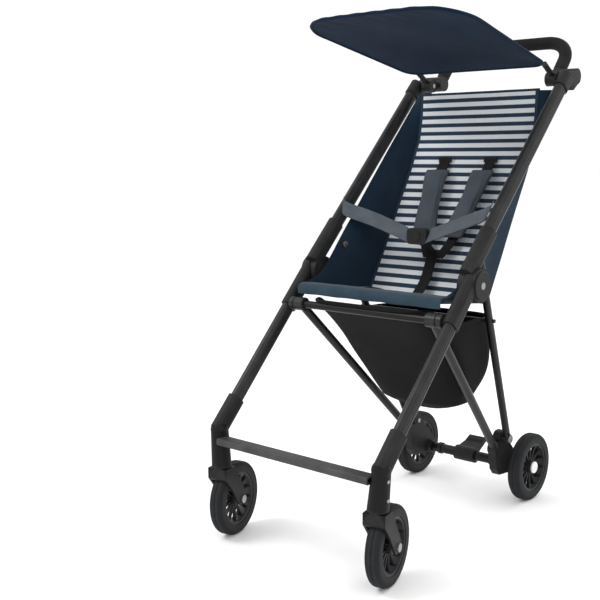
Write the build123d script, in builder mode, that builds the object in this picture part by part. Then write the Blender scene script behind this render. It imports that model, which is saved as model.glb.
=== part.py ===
from build123d import *
from math import cos, radians, sin
import os

# A folding baby stroller, in millimetres. +Z is up, -Y is the way it rolls, +X is the child's left.
# The origin lies on the floor in the middle plane, straight below the fold pivots.
# Frame points are (y, z) in the plane of one side; a third value, x, is how far out they lie.

# ---- driving dimensions ----
wheel_radius = 75.0
tyre_width = 28.0
tyre_depth = 21.0
rim_wall = 5.0
hub_radius = 14.0
spoke_count = 14
spoke_width = 4.0

caster_y = -296.0
caster_x = 193.0
caster_trail = 45.0
caster_rest_turn = 13.0
caster_race_above_hub = 77.0
stem_radius = 6.0

hip_y = 0.0
hip_z = 520.0
hip_disc_radius = 33.0
hip_housing_length = 111.0
hip_housing_depth = 38.0
hip_pin_radius = 7.0

leg_x = 200.0
leg_wide = 20.0
leg_deep = 30.0
leg_ahead_of_hip = 18.0
leg_lean = 47.1
leg_bottom_z = 281.0

upper_x = 190.0
upper_wide = 22.0
upper_deep = 32.0
upper_ahead_of_hip = 28.0
upper_lean = 45.8
upper_length = 545.0
tube_wall = 1.8
groove_width = 1.6
groove_depth = 0.7

elbow_z = 228.0
footrest_z = 216.0
footrest_depth = 30.0
footrest_height = 14.0
footrest_wall = 3.0
footrest_groove_pitch = 6.0

crossbar_y = -90.0
crossbar_z = 460.0
crossbar_radius = 8.0

rear_hub_y = 329.0
rear_wheel_x = 150.0
axle_radius = 5.0
beam_y = 309.0
beam_above_hub = 4.0
beam_radius = 11.0
rear_leg_radius = 9.0
rear_leg_top_x = 163.0
rear_leg_foot = (112.0, 240.0, 130.0)
bracket_inner_x = 103.0
bracket_outer_x = 121.0

link_radius = 8.0
link_top = (170.0, 58.0, 575.0)
link_foot = (131.0, 262.0, 150.0)
cross_rod_z = 432.0
cross_rod_radius = 4.0

handle_from_tube = (36.12, 3.76)
handle_disc_radius = 17.0
handle_x = 150.0
handle_bar_from_joint = (71.0, 83.0)
handle_corner = 60.0
grip_radius = 14.0
handle_core_radius = 9.0

canopy_pivot_from_tube = (3.12, -2.24)
canopy_clamp_radius = 15.0
canopy_pivot_radius = 5.0
canopy_rear_half = 172.0
canopy_rear_from_pivot = (-57.0, 23.0)
canopy_front_half = 188.0
canopy_front_from_pivot = (-442.0, 100.0)
canopy_thick = 6.0

seat_half_width = 148.0
seat_thick = 8.0
seat_front = (-82.0, 499.0)
seat_rear = (126.0, 466.0)
back_bend_low = (226.0, 643.0)
back_bend_high_from_tube = (-40.88, -129.24)
back_top_from_tube = (-37.88, -24.24)
basket_wall = 2.5

turn_gap = 0.06
face_gap = 0.4
soft_gap = 1.0

os.makedirs("parts", exist_ok=True)


# ---- shared helpers ----
def save(piece, name):
    piece.part.label = name
    export_step(piece.part, f"parts/{name}.step")


def save_pair(piece, name):
    """The piece as built sits on the left; its mirror image sits on the right."""
    with BuildPart() as right:
        mirror(piece.part, about=Plane.YZ)
    save(piece, f"{name}_left")
    save(right, f"{name}_right")


def save_both(piece, name):
    """The piece on the left and its mirror image share one node, as two solids."""
    with BuildPart() as both:
        add(piece.part)
        mirror(piece.part, about=Plane.YZ)
    save(both, name)


def side_plane(x):
    """A plane facing +X, whose local axes are Y and Z."""
    return Plane.YZ.offset(x)


def run_plane(start, end):
    """A plane at start that faces end, with its local X along the stroller's X where it can be."""
    way = Vector(*end) - Vector(*start)
    crosswise = abs(way.X) > 0.99 * way.length
    return Plane(origin=start, x_dir=(0, 1, 0) if crosswise else (1, 0, 0), z_dir=way)


def along(start, way, distance):
    return (start[0] + way[0] * distance, start[1] + way[1] * distance)


def bar(start, end, radius, bore=0.0):
    """A round bar, or a tube where bore is set."""
    with BuildPart() as piece:
        with BuildSketch(run_plane(start, end)):
            Circle(radius)
            if bore:
                Circle(bore, mode=Mode.SUBTRACT)
        extrude(amount=(Vector(*end) - Vector(*start)).length)
    return piece.part


def pin(x_from, x_to, y, z, radius):
    """A round pin that lies across the stroller."""
    return bar((x_from, y, z), (x_to, y, z), radius)


def oval_run(start, end, wide, deep):
    """A solid run with an oval section."""
    with BuildPart() as piece:
        with BuildSketch(run_plane(start, end)):
            SlotOverall(deep, wide, rotation=90)
        extrude(amount=(Vector(*end) - Vector(*start)).length)
    return piece.part


def oval_tube(start, end, wide, deep):
    """An oval tube with two grooves along its outer face."""
    with BuildPart() as piece:
        with BuildSketch(run_plane(start, end)):
            SlotOverall(deep, wide, rotation=90)
            SlotOverall(deep - 2 * tube_wall, wide - 2 * tube_wall, rotation=90, mode=Mode.SUBTRACT)
            with Locations((wide / 2, 3.0), (wide / 2, -3.0)):
                Rectangle(2 * groove_depth, groove_width, mode=Mode.SUBTRACT)
        extrude(amount=(Vector(*end) - Vector(*start)).length)
    return piece.part


# ---- lines of the frame, worked out from the driving dimensions ----
caster_race_z = wheel_radius + caster_race_above_hub
beam_z = wheel_radius + beam_above_hub
leg_up = (cos(radians(leg_lean)), sin(radians(leg_lean)))
leg_front = (-leg_up[1], leg_up[0])
leg_foot_of_hip = along((hip_y, hip_z), leg_front, leg_ahead_of_hip)
upper_up = (cos(radians(upper_lean)), sin(radians(upper_lean)))
upper_front = (-upper_up[1], upper_up[0])
upper_foot_of_hip = along((hip_y, hip_z), upper_front, upper_ahead_of_hip)
upper_end = along(upper_foot_of_hip, upper_up, upper_length)
back_bend_high = (upper_end[0] + back_bend_high_from_tube[0], upper_end[1] + back_bend_high_from_tube[1])
back_top = (upper_end[0] + back_top_from_tube[0], upper_end[1] + back_top_from_tube[1])
handle_y = upper_end[0] + handle_from_tube[0]
handle_z = upper_end[1] + handle_from_tube[1]
handle_bar_y = handle_y + handle_bar_from_joint[0]
handle_bar_z = handle_z + handle_bar_from_joint[1]
canopy_pivot_y = upper_end[0] + canopy_pivot_from_tube[0]
canopy_pivot_z = upper_end[1] + canopy_pivot_from_tube[1]
canopy_rear_y = canopy_pivot_y + canopy_rear_from_pivot[0]
canopy_rear_z = canopy_pivot_z + canopy_rear_from_pivot[1]
canopy_front_y = canopy_pivot_y + canopy_front_from_pivot[0]
canopy_front_z = canopy_pivot_z + canopy_front_from_pivot[1]


def leg_point(distance, x=leg_x):
    """A point on the front leg's line, so far below the hip."""
    y, z = along(leg_foot_of_hip, leg_up, -distance)
    return (x, y, z)


def upper_point(distance, x=upper_x):
    """A point on the upper tube's line, so far above the hip."""
    y, z = along(upper_foot_of_hip, upper_up, distance)
    return (x, y, z)


leg_top = leg_point(hip_disc_radius + 3)
elbow_drop = (leg_foot_of_hip[1] - elbow_z) / leg_up[1]
casting_end_drop = (leg_foot_of_hip[1] - leg_bottom_z) / leg_up[1]
leg_bottom = leg_point(casting_end_drop + 28.0)
housing_inner_x = upper_x - upper_wide / 2 - 2.5
upper_housing_outer_x = upper_x + upper_wide / 2 + 4.5
disc_split_x = leg_x + 2.6
lower_inner_x = leg_x - leg_wide / 2 - 3.0
lower_outer_x = leg_x + leg_wide / 2 + 3.0


# ---- front legs, castings, footrest ----
with BuildPart() as leg_tube:
    add(oval_tube(leg_bottom, leg_top, leg_wide, leg_deep))
save_pair(leg_tube, "front_leg_tube")

socket_radius = 20.0
elbow_wide = leg_wide + 12.0
elbow_deep = leg_deep + 8.0
elbow_ball_radius = 17.5
with BuildPart() as casting:
    with BuildSketch(Plane.XY.offset(caster_race_z + 2 + face_gap)):
        with Locations((caster_x, caster_y)):
            Circle(socket_radius)
    with BuildSketch(Plane.XY.offset(elbow_z)):
        with Locations((leg_x - 1, caster_y + 1)):
            Ellipse(elbow_wide / 2, elbow_deep / 2)
    loft(ruled=True)
    with Locations(leg_point(elbow_drop, leg_x - 1)):
        Sphere(elbow_ball_radius)
    add(oval_run(leg_point(elbow_drop + 2), leg_point(casting_end_drop), leg_wide + 8, leg_deep + 8))
    add(oval_run(leg_bottom, leg_top, leg_wide, leg_deep), mode=Mode.SUBTRACT)
    with BuildSketch(Plane.XY.offset(caster_race_z)):
        with Locations((caster_x, caster_y)):
            Circle(stem_radius + turn_gap)
    extrude(amount=45, mode=Mode.SUBTRACT)
save_pair(casting, "lower_casting")

bar_half = leg_x - leg_wide / 2 - 5.5
footrest_y = caster_y - socket_radius - 2
with BuildPart() as footrest_bar:
    with BuildSketch(side_plane(-bar_half)):
        with Locations((footrest_y + footrest_depth / 2, footrest_z - footrest_height / 2)):
            RectangleRounded(footrest_depth, footrest_height, 4)
            RectangleRounded(footrest_depth - 2 * footrest_wall, footrest_height - 2 * footrest_wall, 1,
                             mode=Mode.SUBTRACT)
        with Locations((footrest_y + footrest_depth / 2, footrest_z)):
            with GridLocations(footrest_groove_pitch, 1, 4, 1):
                Rectangle(groove_width, 2 * groove_depth, mode=Mode.SUBTRACT)
    extrude(amount=2 * bar_half)
    add(casting.part, mode=Mode.SUBTRACT)
    mirror(casting.part, about=Plane.YZ, mode=Mode.SUBTRACT)
save(footrest_bar, "footrest_bar")

screw_radius = 3.2
screw_from = caster_x + socket_radius - 2.5
screw_length = 5.0
with BuildPart() as casting_screws:
    for z in (caster_race_z + 24, elbow_z - 18):
        for x in (screw_from, -screw_from - screw_length):
            add(pin(x, x + screw_length, caster_y, z, screw_radius))
    add(casting.part, mode=Mode.SUBTRACT)
    mirror(casting.part, about=Plane.YZ, mode=Mode.SUBTRACT)
save(casting_screws, "casting_screws")

# ---- hip joints, where the stroller folds ----
pin_span = (housing_inner_x + 2, lower_outer_x + 3)

with BuildPart() as lower_housing:
    add(oval_run(leg_point(hip_housing_length), leg_point(0.6), leg_wide + 6, hip_housing_depth))
    with BuildSketch(side_plane(disc_split_x)):
        with Locations((hip_y, hip_z)):
            Circle(hip_disc_radius)
    extrude(amount=lower_outer_x - disc_split_x)
    add(pin(housing_inner_x - 5, disc_split_x, hip_y, hip_z, hip_disc_radius + 1.5), mode=Mode.SUBTRACT)
    add(oval_run(leg_bottom, leg_top, leg_wide, leg_deep), mode=Mode.SUBTRACT)
    add(pin(*pin_span, hip_y, hip_z, hip_pin_radius), mode=Mode.SUBTRACT)
save_pair(lower_housing, "hip_housing_lower")

upper_centre = (housing_inner_x + upper_housing_outer_x) / 2
upper_housing_width = upper_housing_outer_x - housing_inner_x
with BuildPart() as upper_housing:
    start = upper_point(0.6, upper_centre)
    add(oval_run(start, upper_point(hip_housing_length, upper_centre), upper_housing_width, hip_housing_depth))
    add(pin(disc_split_x - face_gap, upper_housing_outer_x + 5, hip_y, hip_z, hip_disc_radius + 1),
        mode=Mode.SUBTRACT)
    add(pin(housing_inner_x, disc_split_x - face_gap, hip_y, hip_z, hip_disc_radius - 1))
    add(oval_run(upper_point(hip_housing_length - 40), upper_point(upper_length), upper_wide, upper_deep),
        mode=Mode.SUBTRACT)
    add(pin(*pin_span, hip_y, hip_z, hip_pin_radius + turn_gap), mode=Mode.SUBTRACT)
save_pair(upper_housing, "hip_housing_upper")

with BuildPart() as hip_pin:
    add(pin(*pin_span, hip_y, hip_z, hip_pin_radius))
save_both(hip_pin, "hip_pins")

hip_cap_thick = 3.0
with BuildPart() as hip_cap:
    with BuildSketch(side_plane(lower_outer_x)):
        with Locations((hip_y, hip_z)):
            Circle(hip_disc_radius - 5)
            Circle(hip_pin_radius, mode=Mode.SUBTRACT)
    extrude(amount=hip_cap_thick)
    chamfer(hip_cap.edges().group_by(Axis.X)[-1].sort_by(SortBy.LENGTH)[-1], 1.2)
save_both(hip_cap, "hip_caps")

# ---- front crossbar, which carries the rear legs and the basket ----
crossbar_collar_wide = 11.0
with BuildPart() as crossbar:
    add(pin(-lower_inner_x, lower_inner_x, crossbar_y, crossbar_z, crossbar_radius))
    for x in (-lower_inner_x, lower_inner_x - crossbar_collar_wide):
        add(pin(x, x + crossbar_collar_wide, crossbar_y, crossbar_z, crossbar_radius + 6))
    add(lower_housing.part, mode=Mode.SUBTRACT)
    mirror(lower_housing.part, about=Plane.YZ, mode=Mode.SUBTRACT)
save(crossbar, "front_crossbar")


# ---- wheels ----
def wheel_plane(centre, axle):
    """A plane through the wheel's middle: local X runs along the axle, local Y straight up."""
    return Plane(origin=centre, x_dir=axle, z_dir=Vector(*axle).cross(Vector(0, 0, 1)))


def make_tyre(centre, axle, name):
    rim_radius = wheel_radius - tyre_depth
    with BuildPart() as tyre:
        with BuildSketch(wheel_plane(centre, axle)) as section:
            with Locations((0, rim_radius + tyre_depth / 2)):
                Rectangle(tyre_width, tyre_depth)
            fillet(section.vertices().group_by(Axis.Y)[-1], 8)
            with Locations((0, wheel_radius)):
                Rectangle(1.6, 1.6, mode=Mode.SUBTRACT)
        revolve(axis=Axis(centre, axle))
    save(tyre, name)


def make_rim(centre, axle, bore, name):
    rim_radius = wheel_radius - tyre_depth
    across = wheel_plane(centre, axle)
    with BuildPart() as rim:
        with BuildSketch(across):
            with Locations((0, rim_radius - rim_wall / 2)):
                Rectangle(tyre_width - 4, rim_wall)
            with Locations((0, (hub_radius + bore) / 2)):
                Rectangle(tyre_width - 4, hub_radius - bore)
        revolve(axis=Axis(centre, axle))
        facing = Plane(origin=centre, x_dir=(0, 0, 1), z_dir=axle)
        with BuildSketch(facing.offset(-3)):
            with PolarLocations((rim_radius - rim_wall + hub_radius) / 2, spoke_count):
                Rectangle(rim_radius - rim_wall - hub_radius + 2, spoke_width)
        extrude(amount=6)
    save(rim, name)


def make_caster(sign, side):
    """The fork, its stem, axle bolt, tyre and rim of one front wheel, turned as they trail at rest."""
    turn = radians(caster_rest_turn)
    axle = (cos(turn), sin(turn), 0)
    back = (-sin(turn), cos(turn), 0)
    x, y = sign * caster_x, caster_y
    centre = (x + back[0] * caster_trail, y + back[1] * caster_trail, wheel_radius)
    facing = Plane(origin=(x, y, 0), x_dir=back, z_dir=axle)
    arm_inside = tyre_width / 2 + 2.5
    arm_thick = 5.0
    reach = arm_inside + arm_thick

    def on_axle(distance):
        return tuple(centre[i] + axle[i] * distance for i in range(3))

    with BuildPart() as fork:
        with BuildSketch(facing.offset(-reach)) as cheek:
            with BuildLine():
                Polyline((-17, caster_race_z), (16, caster_race_z), (caster_trail + 13, wheel_radius + 6),
                         (caster_trail + 11, wheel_radius - 9), (caster_trail - 11, wheel_radius - 11),
                         (4, wheel_radius + 32), (-17, wheel_radius + 56), close=True)
            make_face()
            fillet(cheek.vertices().sort_by(Axis.Y)[:3], 5)
        extrude(amount=2 * reach)
        add(bar(on_axle(-arm_inside), on_axle(arm_inside), wheel_radius + 2.5), mode=Mode.SUBTRACT)
        add(bar(on_axle(-reach - 1), on_axle(reach + 1), axle_radius), mode=Mode.SUBTRACT)
        add(bar((x, y, caster_race_z), (x, y, caster_race_z + 2), socket_radius - 1.5))
        add(bar((x, y, caster_race_z + 2), (x, y, caster_race_z + 40), stem_radius))
    save(fork, f"caster_fork_{side}")

    with BuildPart() as bolt:
        for start, end, radius in ((-reach, reach, axle_radius), (reach, reach + 3, 8), (-reach - 3, -reach, 8)):
            add(bar(on_axle(start), on_axle(end), radius))
    save(bolt, f"front_axle_bolt_{side}")
    make_tyre(centre, axle, f"front_tyre_{side}")
    make_rim(centre, axle, axle_radius + turn_gap, f"front_rim_{side}")


make_caster(1, "left")
make_caster(-1, "right")

# ---- rear legs, brackets and axle ----
rear_leg_top = (rear_leg_top_x, crossbar_y, crossbar_z)
eye_radius = 14.0
with BuildPart() as rear_leg:
    add(bar(rear_leg_top, rear_leg_foot, rear_leg_radius, rear_leg_radius - tube_wall))
    eye = (rear_leg_top_x - 11, rear_leg_top_x + 11, crossbar_y, crossbar_z)
    add(pin(*eye, eye_radius))
    add(pin(*eye, crossbar_radius + turn_gap), mode=Mode.SUBTRACT)
save_pair(rear_leg, "rear_leg_tube")

bracket_width = bracket_outer_x - bracket_inner_x
link_pin_radius = 5.0
with BuildPart() as bracket:
    with BuildSketch(side_plane(bracket_inner_x)):
        with BuildLine():
            Polyline(rear_leg_foot[1:], (link_foot[1] + 6, link_foot[2] + 16), (link_foot[1] + 16, link_foot[2] - 2),
                     (rear_hub_y + 8, wheel_radius + 13), (rear_hub_y + 8, wheel_radius - 11),
                     (beam_y, beam_z - 16), (250, 68), (238, 82), (228, 128), close=True)
        make_face()
        with Locations(rear_leg_foot[1:], link_foot[1:], (rear_hub_y, wheel_radius)):
            Circle(15)
    extrude(amount=bracket_width)
    add(bar(rear_leg_top, rear_leg_foot, rear_leg_radius), mode=Mode.SUBTRACT)
    add(pin(bracket_inner_x - 1, bracket_outer_x + 1, link_foot[1], link_foot[2], link_pin_radius),
        mode=Mode.SUBTRACT)
    add(pin(bracket_inner_x - 1, bracket_outer_x + 1, rear_hub_y, wheel_radius, axle_radius), mode=Mode.SUBTRACT)
save_pair(bracket, "rear_bracket")

with BuildPart() as link_pin:
    link_eye_from = link_foot[0] - 6
    link_eye_to = link_foot[0] + 6
    add(pin(bracket_inner_x - 2, link_eye_to + 1, link_foot[1], link_foot[2], link_pin_radius))
    add(pin(link_eye_to + 1, link_eye_to + 3, link_foot[1], link_foot[2], link_pin_radius + 4))
save_both(link_pin, "link_pins")

rear_hub_outer_x = rear_wheel_x + tyre_width / 2 - 2
with BuildPart() as rear_axle:
    add(pin(bracket_inner_x - 3, rear_hub_outer_x, rear_hub_y, wheel_radius, axle_radius))
    add(pin(bracket_outer_x, rear_wheel_x - tyre_width / 2, rear_hub_y, wheel_radius, hub_radius - 3))
save_both(rear_axle, "rear_axles")

for sign, side in ((1, "left"), (-1, "right")):
    hub = (sign * rear_wheel_x, rear_hub_y, wheel_radius)
    make_tyre(hub, (1, 0, 0), f"rear_tyre_{side}")
    make_rim(hub, (1, 0, 0), axle_radius + turn_gap, f"rear_rim_{side}")

with BuildPart() as hub_cap:
    with BuildSketch(side_plane(rear_hub_outer_x)):
        with Locations((rear_hub_y, wheel_radius)):
            Circle(hub_radius - 1)
    extrude(amount=4)
    fillet(hub_cap.edges().group_by(Axis.X)[-1], 2)
save_pair(hub_cap, "hub_cap")

brake_half = 26.0
beam_collar_wide = 14.0
beam_ring_wide = 8.0
beam_journal_radius = beam_radius - 4
with BuildPart() as beam:
    add(pin(-bracket_inner_x, bracket_inner_x, beam_y, beam_z, beam_radius))
    for x in (-bracket_inner_x, bracket_inner_x - beam_collar_wide):
        add(pin(x, x + beam_collar_wide, beam_y, beam_z, beam_radius + 4))
    for x in (-bracket_inner_x + 30, bracket_inner_x - 30 - beam_ring_wide):
        add(pin(x, x + beam_ring_wide, beam_y, beam_z, beam_radius + 2.5))
    add(pin(-brake_half, brake_half, beam_y, beam_z, beam_radius + 1), mode=Mode.SUBTRACT)
    add(pin(-brake_half, brake_half, beam_y, beam_z, beam_journal_radius))
save(beam, "rear_axle_beam")

with BuildPart() as brake_hub:
    add(pin(-brake_half + face_gap, brake_half - face_gap, beam_y, beam_z, beam_radius + 6))
    with BuildSketch(side_plane(-brake_half + 4)):
        with BuildLine():
            Polyline((beam_y + 6, beam_z - 4), (beam_y + 52, beam_z + 22), (beam_y + 49, beam_z + 32),
                     (beam_y + 30, beam_z + 22), (beam_y, beam_z + 16), close=True)
        make_face()
    extrude(amount=2 * brake_half - 8)
    add(pin(-brake_half, brake_half, beam_y, beam_z, beam_journal_radius + turn_gap), mode=Mode.SUBTRACT)
save(brake_hub, "brake_pedal")

# ---- side links ----
link_way = Vector(*link_top) - Vector(*link_foot)
rod_share = (cross_rod_z - link_foot[2]) / (link_top[2] - link_foot[2])
rod_y = link_foot[1] + rod_share * link_way.Y
rod_half = link_foot[0] + rod_share * link_way.X + link_radius + 5
with BuildPart() as side_link:
    add(bar(link_foot, link_top, link_radius, link_radius - tube_wall))
    add(pin(link_eye_from, link_eye_to, link_foot[1], link_foot[2], link_pin_radius + 6))
    add(pin(link_top[0] - 5, link_top[0] + 5, link_top[1], link_top[2], link_radius + 3))
    add(pin(link_eye_to, link_eye_to + 12, link_foot[1], link_foot[2], link_radius + 12), mode=Mode.SUBTRACT)
    add(pin(link_eye_from - 12, link_eye_from, link_foot[1], link_foot[2], link_radius + 12), mode=Mode.SUBTRACT)
    add(pin(link_top[0] + 5, link_top[0] + 25, link_top[1], link_top[2], link_radius + 8), mode=Mode.SUBTRACT)
    add(pin(link_eye_from - 1, link_eye_to + 1, link_foot[1], link_foot[2], link_pin_radius + turn_gap),
        mode=Mode.SUBTRACT)
    add(pin(link_top[0] - 30, link_top[0] + 30, rod_y, cross_rod_z, cross_rod_radius), mode=Mode.SUBTRACT)
save_pair(side_link, "side_link")

with BuildPart() as cross_rod:
    add(pin(-rod_half, rod_half, rod_y, cross_rod_z, cross_rod_radius))
save(cross_rod, "basket_rod")

with BuildPart() as link_bolt:
    add(pin(link_top[0] - 8, link_top[0] - 5, link_top[1], link_top[2], 7))
    add(side_link.part, mode=Mode.SUBTRACT)
save_both(link_bolt, "link_bolts")

# ---- upper frame and handle ----
with BuildPart() as upper_tube:
    add(oval_tube(upper_point(hip_housing_length - 40), upper_point(upper_length), upper_wide, upper_deep))
save_pair(upper_tube, "upper_tube")

split_x = upper_x - upper_wide / 2 - 8
with BuildPart() as handle_joint:
    add(oval_run(upper_point(upper_length - 34), upper_point(upper_length + 2), upper_wide + 5, upper_deep + 5))
    with BuildSketch(side_plane(split_x)):
        with Locations((handle_y, handle_z)):
            Circle(handle_disc_radius)
        with BuildLine():
            Polyline((handle_y, handle_z + 16), (handle_y - 30, handle_z + 4), (handle_y - 44, handle_z - 14),
                     (handle_y - 16, handle_z - 30), (handle_y + 4, handle_z - 16), close=True)
        make_face()
    extrude(amount=upper_wide + 6)
    add(oval_run(upper_point(hip_housing_length), upper_point(upper_length), upper_wide, upper_deep),
        mode=Mode.SUBTRACT)
    add(pin(split_x - 30, split_x + 10, canopy_pivot_y, canopy_pivot_z, canopy_pivot_radius),
        mode=Mode.SUBTRACT)
save_both(handle_joint, "handle_joints_outer")

with BuildPart() as canopy_pivot:
    add(pin(handle_x - 6, split_x + 10, canopy_pivot_y, canopy_pivot_z, canopy_pivot_radius))
    add(upper_tube.part, mode=Mode.SUBTRACT)
    add(handle_joint.part, mode=Mode.SUBTRACT)
save_both(canopy_pivot, "canopy_pivot_pins")

handle_way = Vector(0, handle_bar_y - handle_y, handle_bar_z - handle_z).normalized()
handle_rise = (Vector(0, handle_bar_y, handle_bar_z) - Vector(0, handle_y, handle_z)).length
handle_plane = Plane(origin=(0, handle_y, handle_z), x_dir=(1, 0, 0), z_dir=Vector(1, 0, 0).cross(handle_way))
leg_start = handle_disc_radius - 5


def handle_loop(radius, bore, start):
    """A round section swept up one leg, across and down the other."""
    with BuildPart() as loop:
        with BuildLine(handle_plane) as path:
            Polyline((handle_x, start), (handle_x, handle_rise), (-handle_x, handle_rise), (-handle_x, start))
            fillet(path.vertices().group_by(Axis.Z)[-1], handle_corner)
        with BuildSketch(Plane(origin=path.wires()[0] @ 0, z_dir=path.wires()[0] % 0)):
            Circle(radius)
            if bore:
                Circle(bore, mode=Mode.SUBTRACT)
        sweep(path=path.wires()[0])
    return loop


grip_start = handle_disc_radius + 3
handle_tube = handle_loop(handle_core_radius, handle_core_radius - 2, leg_start)
handle_grip = handle_loop(grip_radius, handle_core_radius, grip_start)

with BuildPart() as inner_joint:
    add(pin(handle_x - grip_radius + 1, split_x, handle_y, handle_z, handle_disc_radius))
    foot = handle_plane.from_local_coords(Vector(handle_x, leg_start, 0))
    collar = handle_plane.from_local_coords(Vector(handle_x, grip_start, 0))
    add(bar(tuple(foot), tuple(collar), handle_core_radius + 4))
    add(bar(tuple(foot), tuple(collar), handle_core_radius), mode=Mode.SUBTRACT)
save_both(inner_joint, "handle_joints_inner")
save(handle_tube, "handle_tube")
save(handle_grip, "handle_grip")

# ---- canopy ----
clamp_inner_x = handle_x - 4
canopy_stub_radius = 6.0
clamp_outer_x = split_x - face_gap
with BuildPart() as canopy_clamp:
    add(pin(clamp_inner_x, clamp_outer_x, canopy_pivot_y, canopy_pivot_z, canopy_clamp_radius))
    add(bar((canopy_rear_half - 12, canopy_pivot_y - 8, canopy_pivot_z + 8),
            (canopy_rear_half - 12, canopy_rear_y + 12, canopy_rear_z + 6), canopy_stub_radius))
    add(pin(clamp_inner_x - 1, clamp_outer_x + 9, canopy_pivot_y, canopy_pivot_z, canopy_pivot_radius + turn_gap),
        mode=Mode.SUBTRACT)
save_both(canopy_clamp, "canopy_clamps")

canopy_slope = Vector(0, canopy_front_y - canopy_rear_y, canopy_front_z - canopy_rear_z)
canopy_plane = Plane(origin=(0, canopy_rear_y, canopy_rear_z), x_dir=(1, 0, 0),
                     z_dir=Vector(-1, 0, 0).cross(canopy_slope))
canopy_run = canopy_slope.length
canopy_front_round = 72.0
canopy_rear_round = 24.0
wire_inset = 4.0
wire_width = 5.0


def canopy_outline(inset):
    """The visor's outline, seen square on: its corners are rounded, and the front ones more."""
    rear_half = canopy_rear_half - inset
    front_half = canopy_front_half - inset
    with BuildSketch(canopy_plane) as outline:
        with BuildLine():
            Polyline((-rear_half, -inset), (-front_half, inset - canopy_run), (front_half, inset - canopy_run),
                     (rear_half, -inset), close=True)
        make_face()
        fillet(outline.vertices().group_by(Axis.Y)[0], canopy_front_round - inset)
        fillet(outline.vertices().group_by(Axis.Y)[-1], canopy_rear_round - inset)
    return outline.sketch


with BuildPart() as canopy_wire:
    extrude(canopy_outline(wire_inset), amount=-wire_width)
    extrude(canopy_outline(wire_inset + wire_width), amount=-wire_width, mode=Mode.SUBTRACT)
save(canopy_wire, "canopy_wire")

with BuildPart() as canopy_panel:
    extrude(canopy_outline(0), amount=canopy_thick)
save(canopy_panel, "canopy_panel")

# ---- seat ----
seat_slope = Vector(0, seat_rear[0] - seat_front[0], seat_rear[1] - seat_front[1])
seat_plane = Plane(origin=(0, *seat_front), x_dir=(1, 0, 0), z_dir=Vector(1, 0, 0).cross(seat_slope))
seat_front_half = housing_inner_x - 1.5
seat_flap_drop = 16.0
seat_flap_thick = 3.0
with BuildPart() as seat_base:
    with BuildSketch(seat_plane):
        with BuildLine():
            Polyline((-seat_front_half, 0), (seat_front_half, 0), (seat_front_half, 95),
                     (seat_half_width, 140), (seat_half_width, seat_slope.length - 14),
                     (-seat_half_width, seat_slope.length - 14), (-seat_half_width, 140),
                     (-seat_front_half, 95), close=True)
        make_face()
    extrude(amount=-seat_thick)
    with BuildSketch(side_plane(-seat_front_half)):
        with Locations((seat_front[0], seat_front[1] - 1 - seat_flap_drop / 2)):
            Rectangle(seat_flap_thick, seat_flap_drop)
    extrude(amount=2 * seat_front_half)
save(seat_base, "seat_base")

back_line = [seat_rear, back_bend_low, back_bend_high, back_top]
with BuildPart() as seat_back:
    with BuildSketch(side_plane(-seat_half_width)):
        with BuildLine():
            Polyline(*back_line, *[(y - seat_thick, z + 1) for y, z in reversed(back_line)], close=True)
        make_face()
    extrude(amount=2 * seat_half_width)
save(seat_back, "seat_back")

side_front_top = (upper_point(upper_length - 140)[1] + 24, upper_point(upper_length - 140)[2])
side_front_foot = (upper_point(hip_housing_length)[1] + 52, upper_point(hip_housing_length)[2])
with BuildPart() as seat_side:
    with BuildSketch(side_plane(seat_half_width + soft_gap)):
        with BuildLine():
            Polyline(seat_rear, back_bend_low, back_bend_high, back_top, side_front_top, side_front_foot,
                     (hip_y + 55, hip_z + 50), (hip_y + 30, seat_front[1] - 8), close=True)
        make_face()
    extrude(amount=2)
save_pair(seat_side, "seat_side")

# ---- harness ----
strap_x = 58.0
strap_wide = 26.0
strap_thick = 2.0
strap_slot_from_bend = (-46.0, -47.0)
buckle_y = 103.0
buckle_z = 598.0
pad_top_from_bend = (-87.0, -89.0)
pad_foot = (150.0, 590.0)
pad_wide = 44.0
pad_thick = 8.0
strap_slot = (back_bend_high[0] + strap_slot_from_bend[0], back_bend_high[1] + strap_slot_from_bend[1])
pad_top = (back_bend_high[0] + pad_top_from_bend[0], back_bend_high[1] + pad_top_from_bend[1])
with BuildPart() as shoulder_strap:
    with BuildSketch(side_plane(strap_x - strap_wide / 2)):
        with BuildLine():
            Polyline(strap_slot, pad_top, pad_foot,
                     (pad_foot[0] - strap_thick, pad_foot[1] + strap_thick),
                     (pad_top[0] - strap_thick, pad_top[1] + strap_thick),
                     (strap_slot[0], strap_slot[1] + 2 * strap_thick), close=True)
        make_face()
    extrude(amount=strap_wide)
save_both(shoulder_strap, "shoulder_straps")

pad_way = Vector(0, pad_foot[0] - pad_top[0], pad_foot[1] - pad_top[1])
pad_plane = Plane(origin=(strap_x, *pad_top), x_dir=(1, 0, 0), z_dir=Vector(-1, 0, 0).cross(pad_way))
with BuildPart() as shoulder_pad:
    with BuildSketch(pad_plane.offset(strap_thick + 1.5)):
        with Locations((0, -pad_way.length / 2)):
            RectangleRounded(pad_wide, pad_way.length - 20, 10)
    extrude(amount=pad_thick)
save_both(shoulder_pad, "shoulder_pads")

buckle_half = 24.0
buckle_high = 34.0
buckle_thick = 14.0
button_wide = 18.0
button_high = 14.0
button_thick = 3.0
button_stroke = 2.0
with BuildPart() as buckle:
    with BuildSketch(Plane.XZ.offset(-buckle_y)):
        with Locations((0, buckle_z)):
            RectangleRounded(2 * buckle_half, buckle_high, 8)
    extrude(amount=buckle_thick)
    with BuildSketch(Plane.XZ.offset(-buckle_y + 10)):
        with Locations((0, buckle_z)):
            Rectangle(button_wide + 2 * turn_gap, button_high + 2 * turn_gap)
    extrude(amount=8, mode=Mode.SUBTRACT)
save(buckle, "harness_buckle")

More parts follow.
